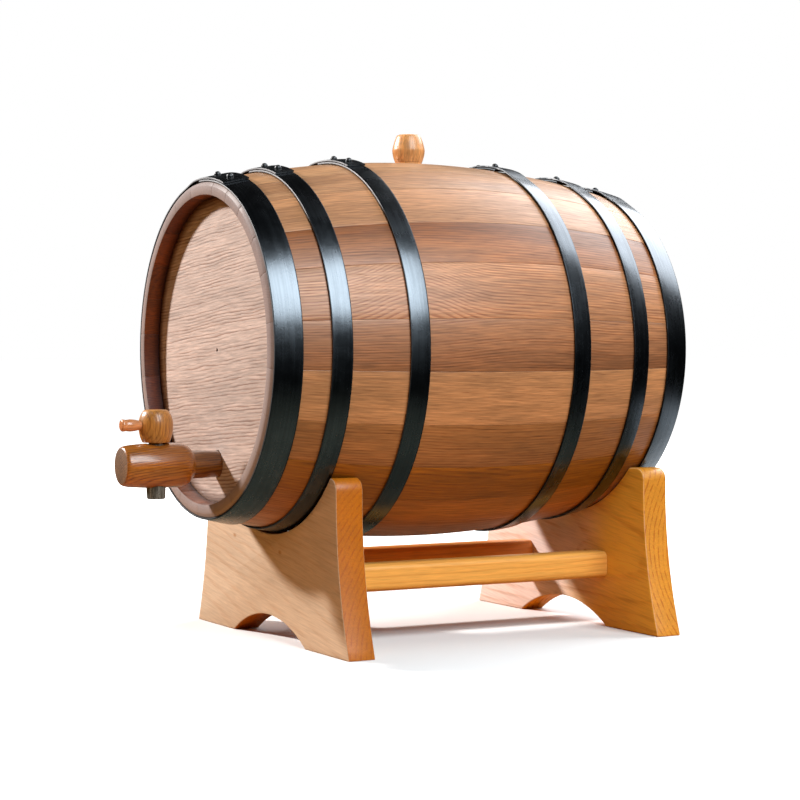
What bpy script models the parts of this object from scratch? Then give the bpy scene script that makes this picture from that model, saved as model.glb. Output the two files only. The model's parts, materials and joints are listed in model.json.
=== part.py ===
"""Ten-litre oak wine barrel lying on a two-board cradle, with a turned bung and a wooden tap.

Metres, +Z up. The barrel's axis runs along Y and its tapped head faces -Y. The origin is on the
floor, under the middle of the whole object. The barrel's own frame has its middle as its origin:
angles around the barrel start at the top and turn towards +X.
"""
import math

import bmesh
import bpy
from mathutils import Matrix, Vector

# ---------------------------------------------------------------- driving dimensions
GAP = 0.0003                  # running gap between neighbouring pieces
AXIS_HEIGHT = 0.1939          # barrel's axis above the floor

# Staves
HALF_LENGTH = 0.1555          # middle of the barrel to the end of a stave
BILGE_RADIUS = 0.1285         # outside of the staves at the middle
END_RADIUS = 0.1099           # outside of the staves at END_STATION
END_STATION = 0.1547          # where END_RADIUS is measured, along the axis
STAVE_THICKNESS = 0.0110
CHIME_BEVEL = 0.0013          # length of the bevel on the outer corner of a stave's end
CHIME_OUTER_RADIUS = 0.1076   # end grain ring, outside
CHIME_INNER_RADIUS = 0.1018   # end grain ring, inside
RECESS_RADIUS = 0.1013        # inside of the staves just in front of the head
OUTER_STEPS = 8               # straight lengths along the outside of a stave
INNER_STEPS = 6
STAVE_ARC_STEPS = 2           # facets across a stave
BUNG_STAVE_WIDTH = 19.0       # degrees, centred on the top
# Widths of the other staves in degrees, from the bung stave round towards +X
STAVE_WIDTHS = (
    12.3, 12.4, 15.6, 14.2, 17.0, 15.2, 16.0, 14.3, 13.8, 13.7, 15.5, 14.6,
    16.2, 14.1, 15.8, 13.9, 15.4, 16.6, 14.3, 15.0, 15.9, 14.2, 15.0,
)

# Heads and the croze groove that holds them
HEAD_FACE = 0.1443            # middle of the barrel to the outer face of a head
HEAD_THICKNESS = 0.0120
HEAD_FLAT_RADIUS = 0.1007
TONGUE_RADIUS = 0.1048
TONGUE_SETBACK = 0.0004       # step from the head's face to its tongue
TONGUE_THICKNESS = 0.0044
HEAD_SHOULDER_RADIUS = 0.1010 # behind the tongue
HEAD_INNER_RADIUS = 0.0970
CROZE_RADIUS = 0.1056
CROZE_OUTER = 0.1445
CROZE_INNER = 0.1388
CENTRE_MARK_RADIUS = 0.0008
CENTRE_MARK_DEPTH = 0.0030
HEAD_STEPS = 40

# Hoops: name, station of the edge nearer the middle, station of the edge nearer the end
HOOPS = (
    ("head", 0.1368, 0.1547),
    ("quarter", 0.1055, 0.1186),
    ("bilge", 0.0540, 0.0673),
)
HOOP_THICKNESS = 0.0012
HOOP_GAP = 0.0005
HOOP_FACET = 7.5              # degrees
LAP_LENGTH = 20.0             # degrees of strap that lie double at the joint
LAP_RAMP = 9.0                # degrees over which the strap climbs on to itself
RIVET_INSET = 5.0             # degrees from a strap end to the nearer rivet
FRONT_LAP_END = 17.5          # angle of the visible cut end on the front hoops
REAR_LAP_END = -8.2
RIVET_HEAD_RADIUS = 0.0023
RIVET_HEAD_HEIGHT = 0.0021
RIVET_SHANK_RADIUS = 0.0011
RIVET_HOLE_RADIUS = 0.0015
RIVET_STEPS = 8

# Bung
BUNG_PLUG_DEPTH = 0.0160      # plug below the top of the stave
BUNG_PLUG_TOP = 0.0091
BUNG_PLUG_TIP = 0.0080
BUNG_NECK = 0.0008            # underside of the knob above the stave
TURNING_STEPS = 24

# Tap
TAP_DROP = 0.0752             # tap's axis below the barrel's axis
TAP_FRONT = 0.2120            # middle of the barrel to the tap's front face
TENON_END = 0.1220            # middle of the barrel to the tap's inner end
TENON_TIP_RADIUS = 0.0080
TENON_FACE_RADIUS = 0.0088    # tenon where it enters the head
KEY_STATION = 0.1877          # middle of the barrel to the key's axis
FLOW_BORE_RADIUS = 0.0030
SLEEVE_RADIUS = 0.0063
SLEEVE_TOP = 0.0140           # top of the sleeve above the tap's axis
SLEEVE_BOTTOM = -0.0218
PLUG_TOP_RADIUS = 0.0047
PLUG_TIP_RADIUS = 0.0041
KEY_TIP = -0.0213
KEY_SHOULDER = 0.0150         # underside of the knob above the tap's axis
KEY_BORE_RADIUS = 0.0024
HANDLE_HEIGHT = 0.0264        # handle's axis above the tap's axis
HANDLE_ROOT = 0.0030          # key's axis to the buried end of the handle
HANDLE_SHANK_RADIUS = 0.0031

# Stand
BOARD_THICKNESS = 0.0190
FRONT_BOARD_FACE = -0.1075    # outer face of the front board, from the barrel's middle
REAR_BOARD_FACE = 0.1460      # outer face of the rear board, from the barrel's middle
FOOT_HALF_WIDTH = 0.1186
WAIST_HALF_WIDTH = 0.1012
WAIST_HEIGHT = 0.1000
HORN_HEIGHT = 0.1130
HORN_CORNER = 0.0080          # radius of the horn's outer corner
ARCH_HALF_WIDTH = 0.0559
ARCH_HEIGHT = 0.0164
CRADLE_GAP = 0.0004
STRETCHER_SIZE = 0.0185
STRETCHER_CORNER = 0.0045
STRETCHER_OFFSET = 0.0488     # stretcher's axis from the middle plane
STRETCHER_HEIGHT = 0.0437
TENON_RADIUS = 0.0047
TENON_LENGTH = 0.0095
MORTISE_DEPTH = 0.0100

# The whole object reaches from the tap's front face to the rear stave ends
BARREL_Y = (TAP_FRONT - HALF_LENGTH) / 2


# ---------------------------------------------------------------- helpers
def clear_scene():
    for item in list(bpy.data.objects):
        bpy.data.objects.remove(item, do_unlink=True)


def material(name, colour, roughness, metallic=0.0):
    made = bpy.data.materials.new(name)
    made.use_nodes = True
    shader = made.node_tree.nodes["Principled BSDF"]
    shader.inputs["Base Color"].default_value = (*colour, 1.0)
    shader.inputs["Roughness"].default_value = roughness
    shader.inputs["Metallic"].default_value = metallic
    made.diffuse_color = (*colour, 1.0)
    return made


def empty(name, location, parent=None):
    made = bpy.data.objects.new(name, None)
    made.location = location
    made.parent = parent
    bpy.context.scene.collection.objects.link(made)
    return made


def piece(name, mesh_builder, finish, parent=None, location=(0, 0, 0), smooth_angle=40):
    """Turn a bmesh into a named object and free the bmesh."""
    mesh = bpy.data.meshes.new(name)
    bmesh.ops.recalc_face_normals(mesh_builder, faces=mesh_builder.faces)
    mesh_builder.to_mesh(mesh)
    mesh_builder.free()
    mesh.shade_smooth()
    mesh.set_sharp_from_angle(angle=math.radians(smooth_angle))
    if finish is not None:
        mesh.materials.append(finish)
    made = bpy.data.objects.new(name, mesh)
    made.location = location
    made.parent = parent
    bpy.context.scene.collection.objects.link(made)
    return made


def cutter(name, mesh_builder, parent=None, location=(0, 0, 0)):
    made = piece(name, mesh_builder, None, parent, location)
    made.hide_render = True
    made.display_type = "WIRE"
    return made


def cut(target, tool):
    boolean = target.modifiers.new(tool.name, "BOOLEAN")
    boolean.operation = "DIFFERENCE"
    boolean.solver = "EXACT"
    boolean.object = tool


def turned(profile, axis="Z", steps=TURNING_STEPS):
    """Spin (radius, height) points about an axis and close both flat ends."""
    builder = bmesh.new()
    verts = [builder.verts.new((radius, 0, height)) for radius, height in profile]
    edges = [builder.edges.new(pair) for pair in zip(verts, verts[1:])]
    bmesh.ops.spin(
        builder, geom=verts + edges, cent=(0, 0, 0), axis=(0, 0, 1),
        angle=2 * math.pi, steps=steps, use_merge=True,
    )
    bmesh.ops.remove_doubles(builder, verts=builder.verts, dist=1e-6)
    open_edges = [edge for edge in builder.edges if edge.is_boundary]
    bmesh.ops.holes_fill(builder, edges=open_edges, sides=steps)
    if axis == "-Y":
        turn = Matrix.Rotation(math.radians(90), 4, "X")
        bmesh.ops.transform(builder, matrix=turn, verts=builder.verts)
    return builder


def lofted(loops):
    """Join loops of equal point counts into one closed body with flat ends."""
    builder = bmesh.new()
    rings = [[builder.verts.new(point) for point in loop] for loop in loops]
    count = len(loops[0])
    for lower, upper in zip(rings, rings[1:]):
        for index in range(count):
            following = (index + 1) % count
            builder.faces.new((lower[index], lower[following], upper[following], upper[index]))
    builder.faces.new(rings[0])
    builder.faces.new(list(reversed(rings[-1])))
    return builder


def around_barrel(angle, radius, station):
    """A point at an angle from the top, a radius from the axis and a station along it."""
    turn = math.radians(angle)
    return Vector((radius * math.sin(turn), station, radius * math.cos(turn)))


def stave_radius(station):
    """Outer radius of the staves: a parabola from the bilge to the ends."""
    return BILGE_RADIUS - (BILGE_RADIUS - END_RADIUS) * (station / END_STATION) ** 2


def stave_slope(station):
    return -2 * (BILGE_RADIUS - END_RADIUS) * station / END_STATION ** 2


# ---------------------------------------------------------------- staves
def stave_profile():
    """Closed outline of a stave's length in (station, radius), both ends alike."""
    bevel_start = HALF_LENGTH - CHIME_BEVEL
    outer = []
    for step in range(OUTER_STEPS + 1):
        station = bevel_start * (2 * step / OUTER_STEPS - 1)
        outer.append((station, stave_radius(station)))
    end = [
        (HALF_LENGTH, CHIME_OUTER_RADIUS),
        (HALF_LENGTH, CHIME_INNER_RADIUS),
        (CROZE_OUTER, RECESS_RADIUS),
        (CROZE_OUTER, CROZE_RADIUS),
        (CROZE_INNER, CROZE_RADIUS),
    ]
    inner = []
    for step in range(INNER_STEPS + 1):
        station = CROZE_INNER * (1 - 2 * step / INNER_STEPS)
        inner.append((station, stave_radius(station) - STAVE_THICKNESS))
    other_end = [(-station, radius) for station, radius in reversed(end)]
    return outer + end + inner + other_end


def stave_angles():
    """Start and end angle of each stave, the bung stave first."""
    angle = BUNG_STAVE_WIDTH / 2
    spans = [(-angle, angle)]
    for width in STAVE_WIDTHS:
        spans.append((angle, angle + width))
        angle += width
    return spans


def make_staves(oak, barrel):
    side_gap = math.degrees(GAP / 2 / (BILGE_RADIUS - STAVE_THICKNESS))
    profile = stave_profile()
    made = []
    for number, (start, end) in enumerate(stave_angles(), start=1):
        builder = bmesh.new()
        outline = [builder.verts.new(around_barrel(start + side_gap, radius, station))
                   for station, radius in profile]
        face = builder.faces.new(outline)
        bmesh.ops.spin(
            builder, geom=[face] + face.edges[:] + face.verts[:], cent=(0, 0, 0), axis=(0, 1, 0),
            angle=math.radians(end - start - 2 * side_gap), steps=STAVE_ARC_STEPS,
        )
        made.append(piece(f"stave_{number:02d}", builder, oak, barrel))
    return made


def make_bung_hole(bung_stave, barrel):
    hole = turned((
        (BUNG_PLUG_TIP, BILGE_RADIUS - BUNG_PLUG_DEPTH),
        (BUNG_PLUG_TOP + GAP, BILGE_RADIUS),
        (BUNG_PLUG_TOP + 2 * GAP, BILGE_RADIUS + BUNG_PLUG_DEPTH),
    ))
    cut(bung_stave, cutter("bung_hole_cutter", hole, barrel))


# ---------------------------------------------------------------- heads
def make_head(name, outward, oak, barrel):
    """A flat round head whose thin edge, the tongue, sits in the croze groove."""
    face = HEAD_FACE
    tongue_face = face - TONGUE_SETBACK
    tongue_back = tongue_face - TONGUE_THICKNESS
    profile = (
        (HEAD_FLAT_RADIUS, face),
        (HEAD_FLAT_RADIUS, tongue_face),
        (TONGUE_RADIUS, tongue_face),
        (TONGUE_RADIUS, tongue_back),
        (HEAD_SHOULDER_RADIUS, tongue_back),
        (HEAD_INNER_RADIUS, face - HEAD_THICKNESS),
    )
    builder = turned(profile, "-Y", HEAD_STEPS)
    if outward > 0:
        bmesh.ops.rotate(
            builder, verts=builder.verts, cent=(0, 0, 0),
            matrix=Matrix.Rotation(math.pi, 3, "Z"),
        )
    return piece(name, builder, oak, barrel)


def cut_front_head(head, barrel):
    tap_bore = turned((
        (TENON_TIP_RADIUS + GAP, TENON_END),
        (TENON_FACE_RADIUS + GAP, HEAD_FACE),
        (TENON_FACE_RADIUS + GAP, HEAD_FACE + HEAD_THICKNESS),
    ), "-Y")
    cut(head, cutter("tap_bore_cutter", tap_bore, barrel, (0, 0, -TAP_DROP)))
    mark = turned((
        (CENTRE_MARK_RADIUS, HEAD_FACE - CENTRE_MARK_DEPTH),
        (CENTRE_MARK_RADIUS, HEAD_FACE + CENTRE_MARK_DEPTH),
    ), "-Y", RIVET_STEPS)
    cut(head, cutter("centre_mark_cutter", mark, barrel))


# ---------------------------------------------------------------- hoops and rivets
def hoop_sections(inner_edge, outer_edge, side, lap_end, turn):
    """Cross-sections of one strap, from its buried end round to its visible cut end."""
    stations = (side * inner_edge, side * outer_edge)
    base = [stave_radius(station) + HOOP_GAP for station in stations]
    lift = HOOP_THICKNESS + GAP
    length = 360.0 + LAP_LENGTH
    climb_end = 360.0 - HOOP_FACET / 2
    climb_start = climb_end - LAP_RAMP
    run = [HOOP_FACET * step for step in range(int(climb_start / HOOP_FACET) + 1)]
    run += [climb_start, climb_end]
    lap_steps = math.ceil((length - climb_end) / HOOP_FACET)
    run += [climb_end + (length - climb_end) * step / lap_steps for step in range(1, lap_steps + 1)]
    sections = []
    for travelled in run:
        raised = lift if travelled >= climb_end else 0.0
        angle = lap_end - turn * (length - travelled)
        sections.append([
            around_barrel(angle, base[0] + raised, stations[0]),
            around_barrel(angle, base[1] + raised, stations[1]),
            around_barrel(angle, base[1] + raised + HOOP_THICKNESS, stations[1]),
            around_barrel(angle, base[0] + raised + HOOP_THICKNESS, stations[0]),
        ])
    return sections


def strap_frame(angle, station):
    """Placement on the lapped strap's outer surface, local Z along its outward normal."""
    surface = stave_radius(station) + HOOP_GAP + 2 * HOOP_THICKNESS + GAP
    around = Matrix.Rotation(math.radians(angle), 4, "Y")
    tilt = Matrix.Rotation(math.atan(stave_slope(station)), 4, "X")
    return around @ Matrix.Translation((0, station, surface)) @ tilt


def rivet_mesh():
    profile = [(RIVET_SHANK_RADIUS, -2 * HOOP_THICKNESS - GAP), (RIVET_SHANK_RADIUS, GAP)]
    for degrees in (0, 30, 60):
        rise = math.radians(degrees)
        profile.append((RIVET_HEAD_RADIUS * math.cos(rise), GAP + RIVET_HEAD_HEIGHT * math.sin(rise)))
    profile.append((RIVET_HEAD_RADIUS * 0.2, GAP + RIVET_HEAD_HEIGHT))
    return turned(profile, steps=RIVET_STEPS)


def hole_mesh():
    reach = 4 * HOOP_THICKNESS
    return turned(((RIVET_HOLE_RADIUS, -reach), (RIVET_HOLE_RADIUS, reach)), steps=RIVET_STEPS)


def make_hoop(kind, inner_edge, outer_edge, end, iron, barrel):
    """One riveted hoop; the rear hoops are turned end for end, so their laps point the other way."""
    side, lap_end, turn = (-1, FRONT_LAP_END, 1) if end == "front" else (1, REAR_LAP_END, -1)
    sections = hoop_sections(inner_edge, outer_edge, side, lap_end, turn)
    hoop = piece(f"hoop_{kind}_{end}", lofted(sections), iron, barrel)
    station = side * (inner_edge + outer_edge) / 2
    for number, inset in enumerate((RIVET_INSET, LAP_LENGTH - RIVET_INSET), start=1):
        placing = strap_frame(lap_end - turn * inset, station)
        rivet = piece(f"rivet_{kind}_{end}_{number}", rivet_mesh(), iron, barrel)
        rivet.matrix_local = placing
        hole = cutter(f"rivet_hole_{kind}_{end}_{number}", hole_mesh(), barrel)
        hole.matrix_local = placing
        cut(hoop, hole)


# ---------------------------------------------------------------- bung
def make_bung(wood, barrel):
    top = BILGE_RADIUS
    axis = empty("bung_axis", (0, 0, top), barrel)
    profile = (
        (BUNG_PLUG_TIP - GAP, -BUNG_PLUG_DEPTH + 0.0006),
        (BUNG_PLUG_TOP, 0.0),
        (BUNG_PLUG_TOP, BUNG_NECK),
        (0.0094, BUNG_NECK + 0.0003),
        (0.0106, 0.0048),
        (0.0112, 0.0085),
        (0.0111, 0.0102),
        (0.0102, 0.0140),
        (0.0088, 0.0178),
        (0.0077, 0.0196),
        (0.0068, 0.0200),
    )
    return piece("bung", turned(profile), wood, axis)


# ---------------------------------------------------------------- tap
def make_tap_body(wood, barrel):
    """Turned body lying along -Y, with a shoulder, a neck and a tenon through the head."""
    profile = (
        (TENON_TIP_RADIUS, TENON_END),
        (TENON_FACE_RADIUS, HEAD_FACE),
        (0.0094, 0.1630),
        (0.0102, 0.1644),
        (0.0124, 0.1662),
        (0.0139, 0.1690),
        (0.0146, 0.1730),
        (0.0147, 0.1850),
        (0.0144, 0.1960),
        (0.0137, 0.2060),
        (0.0131, 0.2098),
        (0.0115, TAP_FRONT),
    )
    place = (0, 0, -TAP_DROP)
    body = piece("tap_body", turned(profile, "-Y"), wood, barrel, place)
    bore_end = KEY_STATION
    flow = turned((
        (FLOW_BORE_RADIUS, TENON_END - STAVE_THICKNESS),
        (FLOW_BORE_RADIUS, bore_end),
    ), "-Y", 12)
    cut(body, cutter("flow_bore_cutter", flow, barrel, place))
    socket_radius = SLEEVE_RADIUS + GAP
    socket = turned(((socket_radius, -0.03), (socket_radius, 0.03)))
    cut(body, cutter("key_socket_cutter", socket, barrel, (0, -KEY_STATION, -TAP_DROP)))
    return body


def plug_radius(height):
    """Radius of the key's tapered plug at a height above the tap's axis."""
    share = (height - KEY_TIP) / (KEY_SHOULDER - KEY_TIP)
    return PLUG_TIP_RADIUS + (PLUG_TOP_RADIUS - PLUG_TIP_RADIUS) * share


def make_sleeve(cork, key_axis):
    """Tapered lining of the key's socket; its lower end is the outlet below the body."""
    sleeve = piece("tap_sleeve", turned((
        (0.0058, SLEEVE_BOTTOM),
        (0.0061, SLEEVE_BOTTOM + 0.0012),
        (SLEEVE_RADIUS, SLEEVE_BOTTOM + 0.0060),
        (SLEEVE_RADIUS, SLEEVE_TOP),
    )), cork, key_axis)
    reach = 0.005
    bore = turned((
        (plug_radius(SLEEVE_BOTTOM - reach) + GAP, SLEEVE_BOTTOM - reach),
        (plug_radius(SLEEVE_TOP + reach) + GAP, SLEEVE_TOP + reach),
    ))
    cut(sleeve, cutter("sleeve_bore_cutter", bore, key_axis))
    port = turned(((KEY_BORE_RADIUS, -2 * SLEEVE_RADIUS), (KEY_BORE_RADIUS, 0.0)), "-Y", 12)
    cut(sleeve, cutter("sleeve_port_cutter", port, key_axis))
    return sleeve


def make_key(wood, key_axis):
    """Turned knob on a tapered plug; the plug's side port meets a bore down to its tip."""
    key = piece("tap_key", turned((
        (PLUG_TIP_RADIUS, KEY_TIP),
        (PLUG_TOP_RADIUS, KEY_SHOULDER),
        (0.0088, KEY_SHOULDER),
        (0.0093, 0.0162),
        (0.0105, 0.0196),
        (0.0113, 0.0250),
        (0.0111, 0.0286),
        (0.0100, 0.0324),
        (0.0085, 0.0349),
        (0.0070, 0.0363),
    )), wood, key_axis)
    down = turned(((KEY_BORE_RADIUS, KEY_TIP - 0.005), (KEY_BORE_RADIUS, 0.0)), steps=12)
    cut(key, cutter("key_bore_cutter", down, key_axis))
    side = turned(((KEY_BORE_RADIUS, 0.0), (KEY_BORE_RADIUS, SLEEVE_RADIUS)), steps=12)
    bmesh.ops.rotate(
        side, verts=side.verts, cent=(0, 0, 0), matrix=Matrix.Rotation(math.radians(90), 3, "Y"),
    )
    cut(key, cutter("key_port_cutter", side, key_axis))
    socket_radius = HANDLE_SHANK_RADIUS + GAP
    socket = turned((
        (socket_radius, HANDLE_ROOT - GAP),
        (socket_radius, 0.02),
    ), "-Y", 12)
    cut(key, cutter("handle_socket_cutter", socket, key_axis, (0, 0, HANDLE_HEIGHT)))
    return key


def make_handle(wood, key_axis):
    """Short turned peg driven into the side of the knob, pointing away from the barrel."""
    tip = TAP_FRONT - KEY_STATION
    profile = (
        (HANDLE_SHANK_RADIUS, HANDLE_ROOT),
        (HANDLE_SHANK_RADIUS, 0.0118),
        (0.0038, 0.0150),
        (0.0040, 0.0182),
        (0.0037, 0.0210),
        (0.0040, 0.0230),
        (0.0037, 0.0240),
        (0.0026, tip),
    )
    return piece("tap_key_handle", turned(profile, "-Y", 16), wood, key_axis,
                 (0, 0, HANDLE_HEIGHT))


# ---------------------------------------------------------------- stand
def arc(centre, radius, start, end, steps):
    """Points of an arc in (x, height); angles in degrees from +X towards +Z."""
    points = []
    for step in range(steps + 1):
        angle = math.radians(start + (end - start) * step / steps)
        points.append((centre[0] + radius * math.cos(angle), centre[1] + radius * math.sin(angle)))
    return points


def board_outline(cradle_radius):
    """Right-hand half of a cradle board from the arch round to the cradle, then mirrored."""
    arch_radius = (ARCH_HALF_WIDTH ** 2 + ARCH_HEIGHT ** 2) / (2 * ARCH_HEIGHT)
    arch_centre = (0.0, ARCH_HEIGHT - arch_radius)
    arch_end = math.degrees(math.asin((arch_radius - ARCH_HEIGHT) / arch_radius))
    half = arc(arch_centre, arch_radius, 90, arch_end, 5)
    for step in range(7):
        height = WAIST_HEIGHT * step / 6
        flare = (FOOT_HALF_WIDTH - WAIST_HALF_WIDTH) * (1 - height / WAIST_HEIGHT) ** 2
        half.append((WAIST_HALF_WIDTH + flare, height))
    corner = (WAIST_HALF_WIDTH - HORN_CORNER, HORN_HEIGHT - HORN_CORNER)
    half += arc(corner, HORN_CORNER, 0, 90, 4)
    horn_angle = math.degrees(math.asin((HORN_HEIGHT - AXIS_HEIGHT) / cradle_radius))
    half += arc((0.0, AXIS_HEIGHT), cradle_radius, horn_angle, -90, 9)
    mirrored = [(-x, height) for x, height in reversed(half[1:-1])]
    return half + mirrored


def make_board(name, cradle_radius, outer_face, inward, pine):
    """One board, with round mortises in its inner face for the stretchers' tenons."""
    builder = bmesh.new()
    outline = [builder.verts.new((x, 0.0, height)) for x, height in board_outline(cradle_radius)]
    face = builder.faces.new(outline)
    grown = bmesh.ops.extrude_face_region(builder, geom=[face])
    moved = [item for item in grown["geom"] if isinstance(item, bmesh.types.BMVert)]
    bmesh.ops.translate(builder, verts=moved, vec=(0.0, inward * BOARD_THICKNESS, 0.0))
    board = piece(name, builder, pine, location=(0, BARREL_Y + outer_face, 0), smooth_angle=30)
    radius = TENON_RADIUS + GAP
    for side in (-1, 1):
        inner_face = inward * BOARD_THICKNESS
        mortise = turned(((radius, -MORTISE_DEPTH), (radius, MORTISE_DEPTH)), "-Y", 16)
        place = (side * STRETCHER_OFFSET, inner_face, STRETCHER_HEIGHT)
        cut(board, cutter(f"{name}_mortise_{side}", mortise, board, place))
    return board


def rounded_square(station):
    half = STRETCHER_SIZE / 2 - STRETCHER_CORNER
    points = []
    for quarter, (x, z) in enumerate(((half, half), (-half, half), (-half, -half), (half, -half))):
        points += arc((x, z), STRETCHER_CORNER, 90 * quarter, 90 * quarter + 90, 3)
    return [(x, station, z) for x, z in points]


def tenon_ring(station):
    points = []
    for x, _, z in rounded_square(0.0):
        scale = TENON_RADIUS / math.hypot(x, z)
        points.append((x * scale, station, z * scale))
    return points


def make_stretcher(name, side, pine):
    front = FRONT_BOARD_FACE + BOARD_THICKNESS + GAP
    rear = REAR_BOARD_FACE - BOARD_THICKNESS - GAP
    loops = (
        tenon_ring(front - TENON_LENGTH),
        tenon_ring(front),
        rounded_square(front),
        rounded_square(rear),
        tenon_ring(rear),
        tenon_ring(rear + TENON_LENGTH),
    )
    place = (side * STRETCHER_OFFSET, BARREL_Y, STRETCHER_HEIGHT)
    return piece(name, lofted(loops), pine, location=place)


def make_stand(pine):
    front_radius = stave_radius(FRONT_BOARD_FACE + BOARD_THICKNESS) + CRADLE_GAP
    rear_radius = stave_radius(REAR_BOARD_FACE - BOARD_THICKNESS) + CRADLE_GAP
    make_board("cradle_board_front", front_radius, FRONT_BOARD_FACE, 1, pine)
    make_board("cradle_board_rear", rear_radius, REAR_BOARD_FACE, -1, pine)
    make_stretcher("stretcher_left", -1, pine)
    make_stretcher("stretcher_right", 1, pine)


# ---------------------------------------------------------------- assembly
def main():
    clear_scene()
    oak = material("stave_oak", (0.46, 0.24, 0.12), 0.5)
    head_oak = material("head_oak", (0.66, 0.47, 0.35), 0.55)
    iron = material("hoop_iron", (0.02, 0.022, 0.025), 0.35, 0.7)
    bung_wood = material("bung_wood", (0.63, 0.36, 0.15), 0.4)
    tap_wood = material("tap_wood", (0.33, 0.14, 0.05), 0.3)
    handle_wood = material("handle_wood", (0.60, 0.27, 0.12), 0.3)
    cork = material("tap_cork", (0.08, 0.09, 0.08), 0.6)
    pine = material("stand_pine", (0.72, 0.38, 0.14), 0.35)

    barrel = empty("barrel_axis", (0, BARREL_Y, AXIS_HEIGHT))
    staves = make_staves(oak, barrel)
    make_bung_hole(staves[0], barrel)
    front_head = make_head("front_head", -1, head_oak, barrel)
    cut_front_head(front_head, barrel)
    make_head("rear_head", 1, head_oak, barrel)
    for kind, inner_edge, outer_edge in HOOPS:
        for end in ("front", "rear"):
            make_hoop(kind, inner_edge, outer_edge, end, iron, barrel)
    make_bung(bung_wood, barrel)

    make_tap_body(tap_wood, barrel)
    key_axis = empty("tap_key_axis", (0, -KEY_STATION, -TAP_DROP), barrel)
    make_sleeve(cork, key_axis)
    make_key(tap_wood, key_axis)
    make_handle(handle_wood, key_axis)
    make_stand(pine)


main()
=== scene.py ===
"""Looks of the ten-litre oak wine barrel on its cradle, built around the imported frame.

Metres, +Z up. The barrel lies along Y with its tapped head towards -Y. Angles around the barrel
start at the top and turn towards +X. A station is a distance along the barrel from its middle,
towards +Y. Every piece keeps its vertices in the row frame and stands for one CAD node.
"""

import json
import math
import random

import bmesh
import bpy
from mathutils import Matrix, Vector


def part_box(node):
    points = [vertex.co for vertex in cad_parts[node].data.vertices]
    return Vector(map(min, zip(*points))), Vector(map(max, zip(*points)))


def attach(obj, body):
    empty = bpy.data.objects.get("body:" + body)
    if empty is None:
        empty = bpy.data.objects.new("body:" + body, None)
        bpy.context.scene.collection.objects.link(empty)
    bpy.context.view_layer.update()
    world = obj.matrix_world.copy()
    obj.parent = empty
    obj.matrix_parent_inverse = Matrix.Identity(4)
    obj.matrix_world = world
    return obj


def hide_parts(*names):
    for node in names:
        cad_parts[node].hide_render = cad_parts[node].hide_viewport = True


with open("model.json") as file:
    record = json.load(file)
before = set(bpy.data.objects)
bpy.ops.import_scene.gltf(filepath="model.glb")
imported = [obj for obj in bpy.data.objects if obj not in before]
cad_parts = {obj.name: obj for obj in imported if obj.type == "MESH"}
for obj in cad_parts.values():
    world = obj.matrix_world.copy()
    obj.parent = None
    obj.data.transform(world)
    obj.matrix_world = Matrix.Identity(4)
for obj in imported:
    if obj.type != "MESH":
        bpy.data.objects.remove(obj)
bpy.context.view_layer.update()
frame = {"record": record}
BODIES = frame["record"]["behaviour"]["bodies"]
BODY_OF = {node: body for body, members in BODIES.items() for node in members}

# ---------------- places from the frame
FRONT_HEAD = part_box("front_head")
REAR_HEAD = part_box("rear_head")
BARREL = (FRONT_HEAD[0] + FRONT_HEAD[1] + REAR_HEAD[0] + REAR_HEAD[1]) / 4
BARREL_AXIS = (0.0, 1.0, 0.0)
HEAD_FACE = BARREL.y - FRONT_HEAD[0].y
HEAD_THICKNESS = FRONT_HEAD[1].y - FRONT_HEAD[0].y
HALF_LENGTH = BARREL.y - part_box("stave_07")[0].y
TAP_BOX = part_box("tap_body")
TAP_FRONT = BARREL.y - TAP_BOX[0].y
TAP_HEIGHT = (TAP_BOX[0].z + TAP_BOX[1].z) / 2
TAP_AXIS = Vector((0.0, BARREL.y, TAP_HEIGHT))
SLEEVE_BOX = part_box("tap_sleeve")
KEY_AXIS = Vector((0.0, (SLEEVE_BOX[0].y + SLEEVE_BOX[1].y) / 2, TAP_HEIGHT))
BUNG_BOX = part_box("bung")

# ---------------- sizes in metres
GAP = 0.0003                  # between neighbouring parts that can be taken apart
BILGE_RADIUS = 0.1285
END_RADIUS = 0.1099
END_STATION = 0.1547
STAVE_THICKNESS = 0.0110
CHIME_BEVEL = 0.0013
CHIME_OUTER_RADIUS = 0.1076
CHIME_INNER_RADIUS = 0.1018
RECESS_RADIUS = 0.1013
BUNG_STAVE_WIDTH = 19.0       # degrees
STAVE_WIDTHS = (              # degrees, from the bung stave round towards +X
    12.3, 12.4, 15.6, 14.2, 17.0, 15.2, 16.0, 14.3, 13.8, 13.7, 15.5, 14.6,
    16.2, 14.1, 15.8, 13.9, 15.4, 16.6, 14.3, 15.0, 15.9, 14.2, 15.0,
)
STAVE_LENGTH_STEPS = 64
STAVE_ARC_STEPS = 7
STAVE_GAP = 0.00014           # the staves are pressed together by the hoops
JOINT_EASE = 0.0004           # width of the worn edge along a stave joint
JOINT_DROP = 0.00010          # how far that edge falls
JOINT_ROUND = 0.35            # share of the width and of the fall at the middle of its rounding
BUNG_HOLE = Vector((0.0, (BUNG_BOX[0].y + BUNG_BOX[1].y) / 2, BARREL.z + BILGE_RADIUS))

HEAD_FLAT_RADIUS = 0.1007
TONGUE_RADIUS = 0.1048
TONGUE_SETBACK = 0.0004
TONGUE_THICKNESS = 0.0044
HEAD_SHOULDER_RADIUS = 0.1010
HEAD_INNER_RADIUS = 0.0970
CROZE_RADIUS = 0.1056
CROZE_OUTER = 0.1445
CROZE_INNER = 0.1388
CENTRE_MARK_RADIUS = 0.0011
CENTRE_MARK_DEPTH = 0.0030
# painted shade inside the centre mark's pit
CENTRE_MARK_PAINTED_SHADE = (0.1, 0.06, 0.04)
RIM_SHADE_WIDTH = 0.0068      # width of the painted shade along the head's rim, next to its croze

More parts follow.
